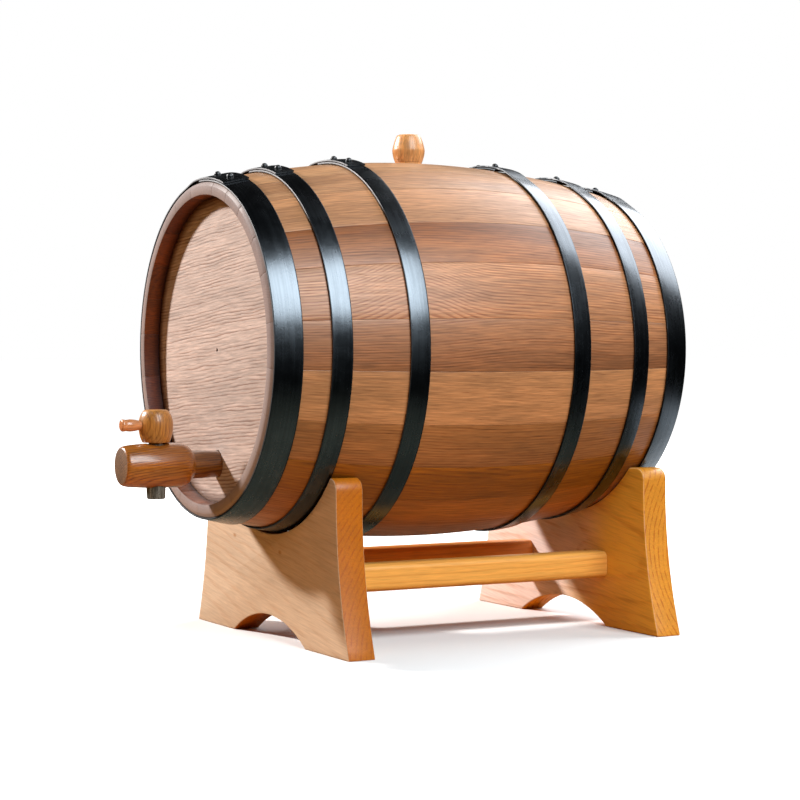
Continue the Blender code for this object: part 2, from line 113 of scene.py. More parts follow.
HOOP_KINDS = ("head", "quarter", "bilge")
HOOP_THICKNESS = 0.0012
HOOP_GAP = 0.0005
HOOP_STEP = 2.5               # degrees between the strap's cross-sections
HOOP_CORNER = 0.00024
HOOP_CROWN = 0.00012
LAP_LENGTH = 20.0             # degrees, as are the four below
LAP_CLIMB = (347.25, 356.25)  # where the strap climbs on to its own start, from that start
LAP_SCUFFS = (352.0, 362.0)   # where the scuffs of the lap fade in
RIVET_INSET = 5.0
LAP_ENDS = {"front": 17.5, "rear": -8.2}
RIVET_RADIUS = 0.0023
RIVET_HEIGHT = 0.0021
RIVET_FLAT = 0.0002           # height of the straight wall under the dome

CRADLE_GAP = 0.0004
FOOT_HALF_WIDTH = 0.1186
WAIST_HALF_WIDTH = 0.1012
WAIST_HEIGHT = 0.1000
HORN_HEIGHT = 0.1130
HORN_CORNER = 0.0080
ARCH_HALF_WIDTH = 0.0559
ARCH_HEIGHT = 0.0164
BOARD_EASE = 0.0011
STRETCHER_CORNER = 0.0045
TENON_RADIUS = 0.0047
TENON_LENGTH = 0.0095

# ---------------- camera, angles in degrees
CAMERA_AZIMUTH = 61.2109
CAMERA_ELEVATION = 0.0432
CAMERA_DISTANCE = 1.4542
CAMERA_YAW = 0.2314
CAMERA_PITCH = 1.3692
CAMERA_LENS = 94.35           # millimetres, for a 36 millimetre sensor

# ---------------- light and floor
FLOOR_BOUNCE = (0.56, 0.275, 0.085)    # soft light the floor gives back
FLOOR_SHINE = (0.16, 0.17, 0.130)      # what polished things see of it
FLOOR_REACH = (0.45, 1.10)    # distance over which the floor stops giving light back
FLOOR_MIRROR = (0.15, 0.50)   # the same for what shines back from it
GLOW_START = (0.16, 0.24)     # a painted pool of light on the floor behind the barrel, seen only in reflections
GLOW_END = (0.45, 0.65)
GLOW_SIDE = (-0.60, 0.80, 0.0)         # which way that part lies
GLOW_SHINE = (0.75, 0.78, 0.80)
AIR = 0.030                   # light from the dark room all round, and how much of it is mirrored
MIRRORED_AIR = 0.006
FLOOR_FADE = (0.35, 1.30)     # distance over which the floor turns white
FLOOR_HALF_SIZE = 30.0

PLAIN = (1.0, 1.0, 1.0)       # a colour factor that changes nothing


# ================ small helpers
def stave_radius(station):
    """Outer radius of the staves: a parabola from the bilge to the ends."""
    return BILGE_RADIUS - (BILGE_RADIUS - END_RADIUS) * (station / END_STATION) ** 2


def stave_slope(station):
    return -2 * (BILGE_RADIUS - END_RADIUS) * station / END_STATION ** 2


def around_barrel(angle, radius, station):
    turn = math.radians(angle)
    return BARREL + Vector((radius * math.sin(turn), station, radius * math.cos(turn)))


def in_barrel(point):
    """The angle, radius and station of a point."""
    local = point - BARREL
    return math.degrees(math.atan2(local.x, local.z)), math.hypot(local.x, local.z), local.y


def smoothstep(value, start=0.0, end=1.0):
    share = min(1.0, max(0.0, (value - start) / (end - start)))
    return share * share * (3 - 2 * share)


def rotation(degrees, axis):
    return Matrix.Rotation(math.radians(degrees), 4, axis)


def arc(centre, radius, start, end, steps):
    """Points of an arc, angles in degrees from the first axis towards the second."""
    points = []
    for step in range(steps + 1):
        angle = math.radians(start + (end - start) * step / steps)
        points.append((centre[0] + radius * math.cos(angle), centre[1] + radius * math.sin(angle)))
    return points


def flowing(points, steps=5):
    """A smooth line through (radius, height) points, as a lathe would leave it."""
    line = []
    for index in range(len(points) - 1):
        before = points[max(index - 1, 0)]
        start = points[index]
        end = points[index + 1]
        after = points[min(index + 2, len(points) - 1)]
        for step in range(steps):
            t = step / steps
            line.append(tuple(
                0.5 * (2 * b + (c - a) * t + (2 * a - 5 * b + 4 * c - d) * t ** 2
                       + (3 * b - a - 3 * c + d) * t ** 3)
                for a, b, c, d in zip(before, start, end, after)
            ))
    line.append(points[-1])
    return line


LATHE_TURNS = {"-Y": "X", "X": "Y"}    # a quarter turn about the second brings +Z to the first


def turned(profile, axis="Z", steps=64):
    """Spin (radius, height) points about an axis and close both flat ends."""
    builder = bmesh.new()
    verts = [builder.verts.new((radius, 0, height)) for radius, height in profile]
    edges = [builder.edges.new(pair) for pair in zip(verts, verts[1:])]
    bmesh.ops.spin(
        builder, geom=verts + edges, cent=(0, 0, 0), axis=(0, 0, 1),
        angle=2 * math.pi, steps=steps, use_merge=True,
    )
    bmesh.ops.remove_doubles(builder, verts=builder.verts, dist=1e-6)
    open_edges = [edge for edge in builder.edges if edge.is_boundary]
    bmesh.ops.holes_fill(builder, edges=open_edges, sides=steps)
    if axis in LATHE_TURNS:
        bmesh.ops.transform(builder, matrix=rotation(90, LATHE_TURNS[axis]), verts=builder.verts)
    return builder


def skin(builder, rows):
    """Faces between neighbouring closed rows of points, and over both ends."""
    count = len(rows[0])
    for near, far in zip(rows, rows[1:]):
        for index in range(count):
            following = (index + 1) % count
            builder.faces.new((near[index], near[following], far[following], far[index]))
    builder.faces.new(rows[0])
    builder.faces.new(list(reversed(rows[-1])))
    return builder


def moved(builder, place):
    bmesh.ops.translate(builder, verts=builder.verts, vec=place)
    return builder


def new_object(name, data):
    made = bpy.data.objects.new(name, data)
    bpy.context.scene.collection.objects.link(made)
    return made


def solid(name, builder):
    """An object made from a bmesh, its vertices in the row frame."""
    bmesh.ops.recalc_face_normals(builder, faces=builder.faces)
    mesh = bpy.data.meshes.new(name)
    builder.to_mesh(mesh)
    builder.free()
    return new_object(name, mesh)


def cut(target, place, profile, axis="Z", steps=64):
    """Take a turned shape out of a piece."""
    tool = solid(target.name + "_cutter", moved(turned(profile, axis, steps), place))
    boolean = target.modifiers.new("cut", "BOOLEAN")
    boolean.operation = "DIFFERENCE"
    boolean.solver = "EXACT"
    boolean.object = tool
    settle(target)
    bpy.data.objects.remove(tool)


def settle(target):
    """Apply the object's modifiers."""
    bpy.context.view_layer.update()
    graph = bpy.context.evaluated_depsgraph_get()
    mesh = bpy.data.meshes.new_from_object(target.evaluated_get(graph))
    target.modifiers.clear()
    target.data = mesh


def eased(target, width):
    bevel = target.modifiers.new("eased", "BEVEL")
    bevel.width = width
    bevel.segments = 3
    bevel.limit_method = "ANGLE"
    bevel.angle_limit = math.radians(32)
    bevel.miter_outer = "MITER_ARC"
    settle(target)


def place_piece(made, node, material, smooth_angle=38):
    """Shade a finished piece, give it its material and tie it to the frame."""
    made.data.shade_smooth()
    made.data.set_sharp_from_angle(angle=math.radians(smooth_angle))
    made.data.materials.clear()
    made.data.materials.append(material)
    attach(made, BODY_OF.get(node))
    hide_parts(node)


def vector_attribute(mesh, name, values):
    layer = mesh.attributes.new(name, "FLOAT_VECTOR", "POINT")
    layer.data.foreach_set("vector", [number for value in values for number in value])


def number_attribute(mesh, name, values):
    layer = mesh.attributes.new(name, "FLOAT", "POINT")
    layer.data.foreach_set("value", values)


def grow_wood(made, to_wood, tint, pith, tilt, seed, stain_and_painted_light=None, swirl=None, figure=1.0):
    """Store where each point lay in its tree: along the grain, and across it from the pith.

    to_wood gives (along, across, deep) in metres. pith is where the tree's middle lies across and
    deep, and tilt how fast it drifts away from the piece's own length in those two directions.
    stain_and_painted_light gives a colour that multiplies the tint at a point: real stains, and also
    painted light and shade. swirl is (along, reach, height): the rings swell sideways by that height
    around that place, as they do beside a branch. figure is how clearly this piece shows its rings.
    """
    offset = Vector((0.37, 0.61, 0.83)) * (seed + 1)
    rings = []
    fibres = []
    for vertex in made.data.vertices:
        along, across, deep = to_wood(vertex.co)
        swell = swirl[2] * math.exp(-((along - swirl[0]) / swirl[1]) ** 2) if swirl else 0.0
        rings.append((along, across - pith[0] - tilt[0] * along - swell,
                      deep - pith[1] - tilt[1] * along))
        fibres.append(Vector((along, across, deep)) + offset)
    vector_attribute(made.data, "ring", rings)
    vector_attribute(made.data, "fibre", fibres)
    number_attribute(made.data, "figure", [figure] * len(fibres))
    stain_and_light_factors = [stain_and_painted_light(vertex.co) if stain_and_painted_light else PLAIN for vertex in made.data.vertices]
    layer = made.data.attributes.new("tint", "FLOAT_COLOR", "POINT")
    layer.data.foreach_set("color", [
        number for factors in stain_and_light_factors for number in (*(a * b for a, b in zip(tint, factors)), 1.0)
    ])


def grain(origin, along, across, deep):
    """Maps a point to where it lies in the wood, given the wood's three directions."""
    axes = [Vector(axis) for axis in (along, across, deep)]
    return lambda point: tuple(axis.dot(point - origin) for axis in axes)


def leaning_grain(origin, degrees):
    """The same for a board across the barrel whose grain rises by some degrees towards +X."""
    along = (math.cos(math.radians(degrees)), 0, math.sin(math.radians(degrees)))
    return grain(origin, along, (-along[2], 0, along[0]), BARREL_AXIS)


# ================ materials
class Tree:
    """A material's node tree, built one call at a time."""

    def __init__(self, name):
        self.material = bpy.data.materials.new(name)
        self.material.use_nodes = True
        self.nodes = self.material.node_tree.nodes
        self.links = self.material.node_tree.links
        self.shader = self.nodes["Principled BSDF"]

    def put(self, value, socket):
        if isinstance(value, bpy.types.NodeSocket):
            self.links.new(value, socket)
        else:
            socket.default_value = value

    def look(self, name, value):
        """Give the shader's named input a value, or the socket that drives it."""
        self.put(value, self.shader.inputs[name])

    def place(self):
        return self.nodes.new("ShaderNodeTexCoord").outputs["Object"]

    def attribute(self, name, output):
        node = self.nodes.new("ShaderNodeAttribute")
        node.attribute_name = name
        return node.outputs[output]

    def math(self, operation, first, second=0.0, third=0.0):
        node = self.nodes.new("ShaderNodeMath")
        node.operation = operation
        for value, socket in zip((first, second, third), node.inputs):
            self.put(value, socket)
        return node.outputs[0]

    def times(self, first, second):
        return self.math("MULTIPLY", first, second)

    def add(self, base, value, factor):
        """The base plus the value times the factor."""
        return self.math("MULTIPLY_ADD", value, factor, base)

    def vector(self, operation, first, second=(0.0, 0.0, 0.0)):
        node = self.nodes.new("ShaderNodeVectorMath")
        node.operation = operation
        self.put(first, node.inputs[0])
        self.put(second, node.inputs[1])
        return node.outputs["Value" if operation in ("LENGTH", "DOT_PRODUCT") else "Vector"]

    def noise(self, place, scale, detail=2.0, roughness=0.5):
        """Noise from 0 to 1; scale is how many waves a metre in each direction."""
        node = self.nodes.new("ShaderNodeTexNoise")
        self.put(self.vector("MULTIPLY", place, scale), node.inputs["Vector"])
        node.inputs["Scale"].default_value = 1.0
        node.inputs["Detail"].default_value = detail
        node.inputs["Roughness"].default_value = roughness
        return node.outputs[0]

    def span(self, value, low, high, to_low=0.0, to_high=1.0):
        """Value from low to high becomes a smooth step from to_low to to_high."""
        node = self.nodes.new("ShaderNodeMapRange")
        node.interpolation_type = "SMOOTHSTEP"
        self.put(value, node.inputs["Value"])
        for number, name in ((low, "From Min"), (high, "From Max"),
                             (to_low, "To Min"), (to_high, "To Max")):
            self.put(number, node.inputs[name])
        return node.outputs["Result"]

    def blend(self, kind, share, first, second):
        node = self.nodes.new("ShaderNodeMix")
        node.data_type = "RGBA"
        node.blend_type = kind
        self.put(share, node.inputs[0])
        for colour, socket in ((first, node.inputs[6]), (second, node.inputs[7])):
            self.put((*colour, 1.0) if isinstance(colour, tuple) else colour, socket)
        return node.outputs[2]

    def bump(self, height, distance):
        node = self.nodes.new("ShaderNodeBump")
        node.inputs["Distance"].default_value = distance
        self.put(height, node.inputs["Height"])
        self.look("Normal", node.outputs["Normal"])

    def looking(self, axis):
        """How squarely the surface looks along an axis of the row frame, from -1 to 1."""
        node = self.nodes.new("ShaderNodeTexCoord")
        return self.vector("DOT_PRODUCT", node.outputs["Normal"], axis)


KNOT_EDGE = (0.0003, 0.0021)
KNOT_REACH = 0.010            # how far round a knot the rings are pushed aside, and by how much
KNOT_PUSH = 0.0022
KNOT_TINT = (0.66, 0.45, 0.28)


def wood(name, spacing, ring_depth, ring_tint, pore_depth, pore_tint, roughness,
         wave=(0.0012, 0.0004), line=0.42, end_axis=None, end_tint=PLAIN, end_from=(0.6, 0.9),
         end_dull=0.2, end_figure=1.0, end_tone=None, painted_bounce=None, coat=0.0, coat_dull=0.18,
         drift=0.25, relief=0.00012, specular=0.5, streak=0.35, hair=0.12, knots=()):
    """Wood cut from a ringed trunk, coloured by each piece's own tint.

    spacing is the width of a year's growth, and line the share of it that is dark early wood.
    ring_depth and pore_depth are how strongly the early wood and the pores darken. wave is how far
    the rings wander, slowly and quickly, in metres. drift, streak and hair are how much the colour
    varies in broad bands, narrow bands and single fibres. knots gives (along, across) of small
    knots, measured from the tree's middle. painted_bounce is (from, to, tint, side): along the board,
    on the face that looks towards side, the colour turns into that tint, a painted warm shade of the
    light bounced between the parts.
    The cut ends look along end_axis. end_tint multiplies their colour, end_tone is (share, colour)
    to mix into it, end_dull roughens them, and end_figure is how much clearer their rings are.
    """
    tree = Tree(name)
    ring = tree.attribute("ring", "Vector")
    fibre = tree.attribute("fibre", "Vector")
    slow = tree.noise(fibre, (9, 26, 26))
    quick = tree.noise(fibre, (48, 210, 210))
    across = tree.vector("LENGTH", tree.vector("MULTIPLY", ring, (0.0, 1.0, 1.0)))
    across = tree.add(across, slow, wave[0] * 4)
    across = tree.add(across, quick, wave[1] * 4)
    knotty = 0.0
    for along, sideways in knots:
        place = tree.vector("SUBTRACT", ring, (along, sideways, 0.0))
        away = tree.vector("LENGTH", tree.vector("MULTIPLY", place, (0.55, 1.0, 0.0)))
        across = tree.add(across, tree.span(away, 0.0, KNOT_REACH, 1.0, 0.0), KNOT_PUSH)
        knotty = tree.math("MAXIMUM", knotty, tree.span(away, *KNOT_EDGE, 1.0, 0.0))
    phase = tree.math("FRACT", tree.math("DIVIDE", across, spacing))
    early = tree.span(phase, 0.04, line, 1.0, 0.0)
    late = tree.span(phase, 1.0 - line * 0.25, 1.0)
    vigour = tree.span(tree.noise(fibre, (17, 280, 280)), 0.34, 0.66, 0.15, 1.0)
    dark_ring = tree.times(tree.math("MAXIMUM", early, late), vigour)

    pores = tree.noise(fibre, (70, 1500, 1500), 2.0, 0.6)
    pores = tree.span(pores, 0.56, 0.70)
    pores = tree.times(pores, tree.add(0.4, early, 0.6))
    streaks = tree.noise(fibre, (34, 620, 620), 3.0, 0.65)
    hairs = tree.noise(fibre, (70, 1300, 1300), 1.0)

    bands = tree.noise(fibre, (5, 42, 42), 3.0, 0.6)
    tone = tree.span(bands, 0.3, 0.7, 1 - drift, 1 + drift * 0.6)
    tone = tree.times(tone, tree.span(streaks, 0.34, 0.66, 1 - streak * 0.6, 1 + streak * 0.4))
    tone = tree.times(tone, tree.span(hairs, 0.36, 0.64, 1 - hair, 1 + hair))
    colour = tree.vector("SCALE", tree.attribute("tint", "Color"))
    tree.links.new(tone, colour.node.inputs["Scale"])
    figure = tree.attribute("figure", "Fac")
    if end_axis is not None:
        end = tree.span(tree.math("ABSOLUTE", tree.looking(end_axis)), *end_from)
        figure = tree.times(figure, tree.add(1.0, end, end_figure - 1.0))
    dark_ring = tree.times(dark_ring, figure)
    depth = tree.times(dark_ring, ring_depth)
    colour = tree.blend("MULTIPLY", depth, colour, ring_tint)
    colour = tree.blend("MULTIPLY", tree.times(pores, pore_depth), colour, pore_tint)
    if knots:
        colour = tree.blend("MULTIPLY", tree.times(knotty, 0.8), colour, KNOT_TINT)
    if painted_bounce is not None:
        along = tree.vector("DOT_PRODUCT", ring, (1.0, 0.0, 0.0))
        bounce_share = tree.times(tree.span(along, painted_bounce[0], painted_bounce[1]),
                          tree.span(tree.looking(painted_bounce[3]), 0.4, 0.9))
        colour = tree.blend("MULTIPLY", bounce_share, colour, painted_bounce[2])
    if end_axis is not None:
        colour = tree.blend("MULTIPLY", end, colour, end_tint)
        if end_tone is not None:
            colour = tree.blend("MIX", tree.times(end, end_tone[0]), colour, end_tone[1])
    tree.look("Base Color", colour)

    gloss = tree.span(streaks, 0.25, 0.75, roughness + 0.07, roughness - 0.05)
    gloss = tree.add(gloss, pores, 0.15)
    if end_axis is not None:
        gloss = tree.add(gloss, end, end_dull)
    tree.look("Roughness", gloss)
    tree.look("Specular IOR Level", specular)
    tree.look("Coat Weight", coat)
    tree.look("Coat Roughness", coat_dull)
    height = tree.add(tree.times(pores, -0.6), dark_ring, -0.35)
    height = tree.add(height, streaks, 0.35)
    tree.bump(height, relief)
    return tree.material


RUBBED_GREY = (0.17, 0.17, 0.175)
# a paler grey for the strap's outward rim, partly painted glare
RIM_GLARE_GREY = (0.125, 0.122, 0.125)


def iron(name, base, roughness):
    """Satin black paint over rolled steel, dull on its edges and rubbed to grey in places. Its
    edges are darkened as painted shade, and its outward rim is a paler grey that is partly painted
    glare.
    """
    tree = Tree(name)
    place = tree.place()
    cloud = tree.noise(place, (38, 38, 38), 4.0, 0.6)
    grit = tree.noise(place, (900, 900, 900))
    rolled = tree.noise(place, (14, 620, 14), 3.0, 0.6)
    scratch = tree.noise(place, (120, 1100, 120), 2.0, 0.7)
    edge = tree.attribute("edge", "Fac")
    lap = tree.attribute("lap", "Fac")
    rubbed = tree.times(edge, tree.span(cloud, 0.54, 0.68))
    scuffed = tree.times(lap, tree.span(scratch, 0.45, 0.65))
    worn = tree.math("MAXIMUM", tree.times(rubbed, 0.25), tree.times(scuffed, 0.6))
    shade = tree.times(tree.span(cloud, 0.3, 0.7, 0.86, 1.14),
                      tree.span(rolled, 0.3, 0.7, 0.88, 1.12))
    # painted shade: the strap's exposed edges are darkened
    shade = tree.times(shade, tree.span(edge, 0.0, 0.6, 1.0, 0.30))
    colour = tree.vector("SCALE", base)
    tree.links.new(shade, colour.node.inputs["Scale"])
    colour = tree.blend("MIX", worn, colour, RUBBED_GREY)
    # partly painted glare: the outward rim is a paler, rougher grey
    rim = tree.attribute("rim", "Fac")
    colour = tree.blend("MIX", rim, colour, RIM_GLARE_GREY)
    tree.look("Base Color", colour)
    gloss = tree.span(cloud, 0.3, 0.7, roughness - 0.02, roughness + 0.04)
    gloss = tree.add(tree.add(gloss, edge, 0.25), rolled, 0.06)
    gloss = tree.add(gloss, rim, 0.30)
    tree.look("Roughness", tree.add(gloss, worn, 0.12))
    tree.look("Metallic", 1.0)
    height = tree.add(tree.times(grit, 0.10), cloud, 0.8)
    height = tree.add(height, rolled, 0.15)
    tree.bump(height, 0.00012)
    return tree.material


def cork(name):
    """Dark waxed sleeve with streaks down its length and small pits."""
    tree = Tree(name)
    place = tree.place()
    streak = tree.noise(place, (700, 700, 60), 3.0, 0.6)
    pits = tree.span(tree.noise(place, (1400, 1400, 900), 1.0), 0.60, 0.70)
    colour = tree.blend("MIX", tree.span(streak, 0.35, 0.65), (0.057, 0.057, 0.048),
                        (0.210, 0.225, 0.210))
    colour = tree.blend("MULTIPLY", tree.times(pits, 0.8), colour, (0.25, 0.22, 0.20))
    tree.look("Base Color", colour)
    tree.look("Roughness", tree.span(streak, 0.3, 0.7, 0.34, 0.52))
    tree.bump(tree.add(streak, pits, -0.7), 0.0002)
    return tree.material


def stage_material():
    """Pale floor that fades into the white backdrop.

    It gives back only a little warm light, from near the barrel, and no sharp reflection, as the
    open dark end of a studio would. In reflections only, a painted pool of light lies on it behind
    the barrel.
    """
    tree = Tree("pale_floor")
    place = tree.place()
    away = tree.vector("LENGTH", place)
    cloud = tree.noise(place, (3, 3, 3), 3.0)
    ray = tree.nodes.new("ShaderNodeLightPath")
    seen = ray.outputs["Is Camera Ray"]
    warm = tree.blend("MULTIPLY", 1.0, FLOOR_BOUNCE, tree.span(away, *FLOOR_REACH, 1.0, 0.0))
    shine = tree.blend("MULTIPLY", 1.0, FLOOR_SHINE, tree.span(away, *FLOOR_MIRROR, 1.0, 0.0))
    behind = tree.span(tree.vector("DOT_PRODUCT", place, GLOW_SIDE), *GLOW_START)
    behind = tree.times(behind, tree.span(away, *GLOW_END, 1.0, 0.0))
    shine = tree.blend("MIX", behind, shine, GLOW_SHINE)
    bounce = tree.blend("MIX", ray.outputs["Is Glossy Ray"], warm, shine)
    pale = tree.blend("MIX", cloud, (0.86, 0.86, 0.86), (0.90, 0.90, 0.90))
    tree.look("Base Color", tree.blend("MIX", seen, bounce, pale))
    tree.look("Roughness", 0.85)
    tree.look("Specular IOR Level", 0.0)
    tree.look("Emission Color", (1.0, 1.0, 1.0, 1.0))
    far = tree.span(away, *FLOOR_FADE)
    tree.look("Emission Strength", tree.times(far, seen))
    return tree.material


STAVE_OAK = wood(
    "stave_oak", 0.0018, 1.00, (0.60, 0.44, 0.32), 0.8, (0.56, 0.40, 0.27), 0.42,
    wave=(0.0014, 0.00014), line=0.56, end_axis=BARREL_AXIS, end_tint=(0.60, 0.80, 1.4),
    end_from=(0.35, 0.70), end_dull=0.40, end_tone=(0.7, (0.315, 0.250, 0.245)), coat_dull=0.35,
    coat=0.10, streak=0.30, hair=0.12, relief=0.00006,
)
HEAD_OAK = wood(
    "head_oak", 0.0018, 0.95, (0.50, 0.37, 0.31), 0.5, (0.6, 0.46, 0.38), 0.5,
    wave=(0.0016, 0.0004), line=0.55, drift=0.13, streak=0.24,
)
BUNG_WOOD = wood(
    "bung_wood", 0.0020, 0.6, (0.72, 0.54, 0.38), 0.4, (0.6, 0.42, 0.3), 0.36,
    end_axis=(0.0, 0.0, 1.0), end_tint=(1.02, 1.05, 1.1), coat=0.25,
)
TAP_WOOD = wood(
    "tap_wood", 0.0016, 1.0, (0.48, 0.34, 0.24), 0.8, (0.40, 0.26, 0.18), 0.30,
    end_axis=BARREL_AXIS, end_tint=(0.62, 1.0, 3.7), end_from=(0.9, 0.99), coat=0.6,
)
KEY_WOOD = wood(
    "key_wood", 0.0017, 0.8, (0.56, 0.44, 0.30), 0.6, (0.42, 0.28, 0.2), 0.36,
    end_axis=(0.0, 0.0, 1.0), end_tint=(1.1, 1.12, 1.15), coat=0.3,
)
HANDLE_WOOD = wood(
    "handle_wood", 0.0016, 0.5, (0.76, 0.56, 0.42), 0.4, (0.6, 0.4, 0.3), 0.28, coat=0.7,
)


def pine(name, edge_tint, knots=(), painted_bounce=None):
    """Pine whose sawn edges soak up more of the orange lacquer than its faces."""
    return wood(
        name, 0.0036, 0.70, (0.75, 0.54, 0.38), 0.15, (0.7, 0.55, 0.4), 0.40,
        wave=(0.0014, 0.0002), line=0.36, end_axis=BARREL_AXIS, end_tint=edge_tint,
        end_from=(0.8, 0.35), end_dull=0.0, end_figure=2.2, painted_bounce=painted_bounce, drift=0.08, streak=0.12,
        hair=0.05, coat=0.06, relief=0.00006, specular=0.4, knots=knots,
    )


STRETCHER_PINE = pine("stretcher_pine", PLAIN)
FRONT_PINE = pine("front_board_pine", (0.75, 0.30, 0.014), ((-0.056, 0.079), (0.017, 0.082)))
# the rear board's inner face turns deep orange towards +X, as painted shade of warm light bounced
# between the parts
REAR_PINE = pine("rear_board_pine", (0.80, 0.42, 0.044), ((0.030, -0.010),),
                 (-0.015, 0.060, (1.20, 0.78, 0.11), (0.0, -1.0, 0.0)))
IRON = iron("hoop_iron", (0.090, 0.101, 0.114), 0.225)
RIVET_IRON = iron("rivet_iron", (0.098, 0.102, 0.107), 0.33)
CORK = cork("tap_cork")


# ================ staves
def stave_outline():
    """Closed outline of a stave's length in (station, radius), finely stepped, both ends alike."""
    bevel_start = HALF_LENGTH - CHIME_BEVEL
    outer = []
    for step in range(STAVE_LENGTH_STEPS + 1):
        station = bevel_start * (2 * step / STAVE_LENGTH_STEPS - 1)
        outer.append((station, stave_radius(station)))
    ease = 0.0005
    end = [
        (HALF_LENGTH - 0.0002, CHIME_OUTER_RADIUS + 0.0004),
        (HALF_LENGTH, CHIME_OUTER_RADIUS - 0.0001),
        (HALF_LENGTH, CHIME_INNER_RADIUS + ease),
        (HALF_LENGTH - 0.0002, CHIME_INNER_RADIUS + 0.0001),
        (HALF_LENGTH - ease, CHIME_INNER_RADIUS),
        (CROZE_OUTER + 0.005, RECESS_RADIUS + 0.0002),
        (CROZE_OUTER, RECESS_RADIUS),
        (CROZE_OUTER, CROZE_RADIUS),
        (CROZE_INNER, CROZE_RADIUS),
    ]
    inner = []
    for step in range(21):
        station = CROZE_INNER * (1 - step / 10)
        inner.append((station, stave_radius(station) - STAVE_THICKNESS))
    other_end = [(-station, radius) for station, radius in reversed(end)]
    return outer + end + inner + other_end


def inset_outline(outline, distance):
    """The outline moved inwards by a small distance, point by point."""
    shrunk = []
    count = len(outline)
    for index, point in enumerate(outline):
        before = Vector(outline[index - 1])
        after = Vector(outline[(index + 1) % count])
        here = Vector(point)
        first = (here - before).normalized()
        second = (after - here).normalized()
        along = (first + second).normalized()
        shrunk.append(tuple(here + Vector((along.y, -along.x)) * distance))
    return shrunk


def stave_spans():
    angle = BUNG_STAVE_WIDTH / 2
    spans = [(-angle, angle)]
    for width in STAVE_WIDTHS:
        spans.append((angle, angle + width))
        angle += width
    return spans


def stave_builder(start, end):
    """A stave as columns of its outline, with both long edges slightly worn."""
    gap = math.degrees(STAVE_GAP / 2 / (BILGE_RADIUS - STAVE_THICKNESS))
    ease = math.degrees(JOINT_EASE / BILGE_RADIUS)
    low = start + gap
    high = end - gap
    full = stave_outline()
    worn = inset_outline(full, JOINT_DROP)
    rounded = inset_outline(full, JOINT_DROP * JOINT_ROUND)
    columns = [(low, worn), (low + ease * JOINT_ROUND, rounded)]
    for step in range(STAVE_ARC_STEPS + 1):
        angle = low + ease + (high - low - 2 * ease) * step / STAVE_ARC_STEPS
        columns.append((angle, full))
    columns += [(high - ease * JOINT_ROUND, rounded), (high, worn)]
    builder = bmesh.new()
    rows = [[builder.verts.new(around_barrel(angle, radius, station)) for station, radius in outline]
            for angle, outline in columns]
    return skin(builder, rows)


def stave_wood(middle):
    """Maps a point of a stave to its board before it was bent round the barrel."""
    def to_wood(point):
        angle, radius, station = in_barrel(point)
        angle = (angle - middle + 180.0) % 360.0 - 180.0
        return station, math.radians(angle) * BILGE_RADIUS, radius - stave_radius(station)
    return to_wood


HONEY = (0.510, 0.260, 0.122)
TAN = (0.470, 0.235, 0.110)
BROWN = (0.335, 0.150, 0.060)
RUSSET = (0.380, 0.145, 0.045)

# each stave's board: its colour, where the tree's middle lay, how the grain drifts. The darker,
# deeper colours of the lower staves 9 to 11 also hold painted shade of the barrel's underside.
STAVE_BOARDS = {
    1: (HONEY, (0.060, -0.05), (0.02, 0.05)),
    2: (HONEY, (-0.110, -0.04), (0.03, 0.04)),
    3: ((0.490, 0.240, 0.113), (0.090, -0.06), (-0.02, 0.03)),
    4: ((0.530, 0.245, 0.110), (-0.050, -0.05), (0.02, 0.05)),
    5: ((0.250, 0.080, 0.021), (0.070, -0.04), (0.05, 0.03)),
    6: ((0.480, 0.215, 0.093), (0.050, -0.030), (0.03, 0.02)),
    7: ((0.360, 0.162, 0.072), (0.140, -0.03), (-0.01, 0.02)),
    8: ((0.540, 0.258, 0.111), (-0.060, -0.06), (0.03, 0.04)),
    9: ((0.350, 0.146, 0.048), (0.080, -0.05), (0.03, 0.03)),
    10: ((0.305, 0.102, 0.0055), (-0.040, -0.06), (0.02, 0.04)),
    11: ((0.400, 0.138, 0.020), (0.100, -0.04), (0.03, 0.03)),
}
STAVE_FIGURES = {1: 0.7, 2: 0.6, 3: 0.8, 4: 0.35, 5: 0.9, 6: 1.0, 7: 0.9, 8: 0.25, 9: 0.8, 10: 0.7}
STAVE_FADES = {5: (1.75, 2.10, 2.80), 7: (0.80, 0.74, 0.70)}   # a board's far edge against its near one
STAVE_SWIRLS = {6: (-0.060, 0.034, -0.017), 7: (0.020, 0.060, -0.006), 3: (-0.08, 0.03, 0.007)}
SPARE_FIGURE = 0.8            # of the staves not in that table
# painted shade on the recess wall round each head, deepest at the croze, where the dark croze joint also
# lies
RECESS_PAINTED_SHADE = (0.44, 0.185, 0.010)
CROZE_JOINT_AND_SHADE = (0.11, 0.028, 0.002)
# painted shade: the tapped end of the staves is darkened where less light reaches it
TAPPED_END_PAINTED_SHADE = (0.90, 0.92, 0.93)
TAPPED_END_SHADE_REACH = (-0.020, -0.120)   # stations over which the painted shade of the tapped end grows


def stave_tone_and_shade(start, end, fade):
    """The wall round each head is darkened as painted shade, darkest at the croze, where the dark
    croze joint also lies. A board may fade across.

    The tapped end is a little darker, as painted shade.
    """
    def stain_and_painted_light(point):
        angle, radius, station = in_barrel(point)
        if radius < CHIME_INNER_RADIUS + 0.0002 and abs(station) > CROZE_INNER:
            return RECESS_PAINTED_SHADE if abs(station) > CROZE_OUTER + 0.001 else CROZE_JOINT_AND_SHADE
        share = (angle - start) % 360.0 / (end - start)
        front_shade = smoothstep(station, *TAPPED_END_SHADE_REACH)
        return tuple((1 + (far - 1) * smoothstep(share)) * (1 + (dark - 1) * front_shade)
                     for far, dark in zip(fade, TAPPED_END_PAINTED_SHADE))
    return stain_and_painted_light


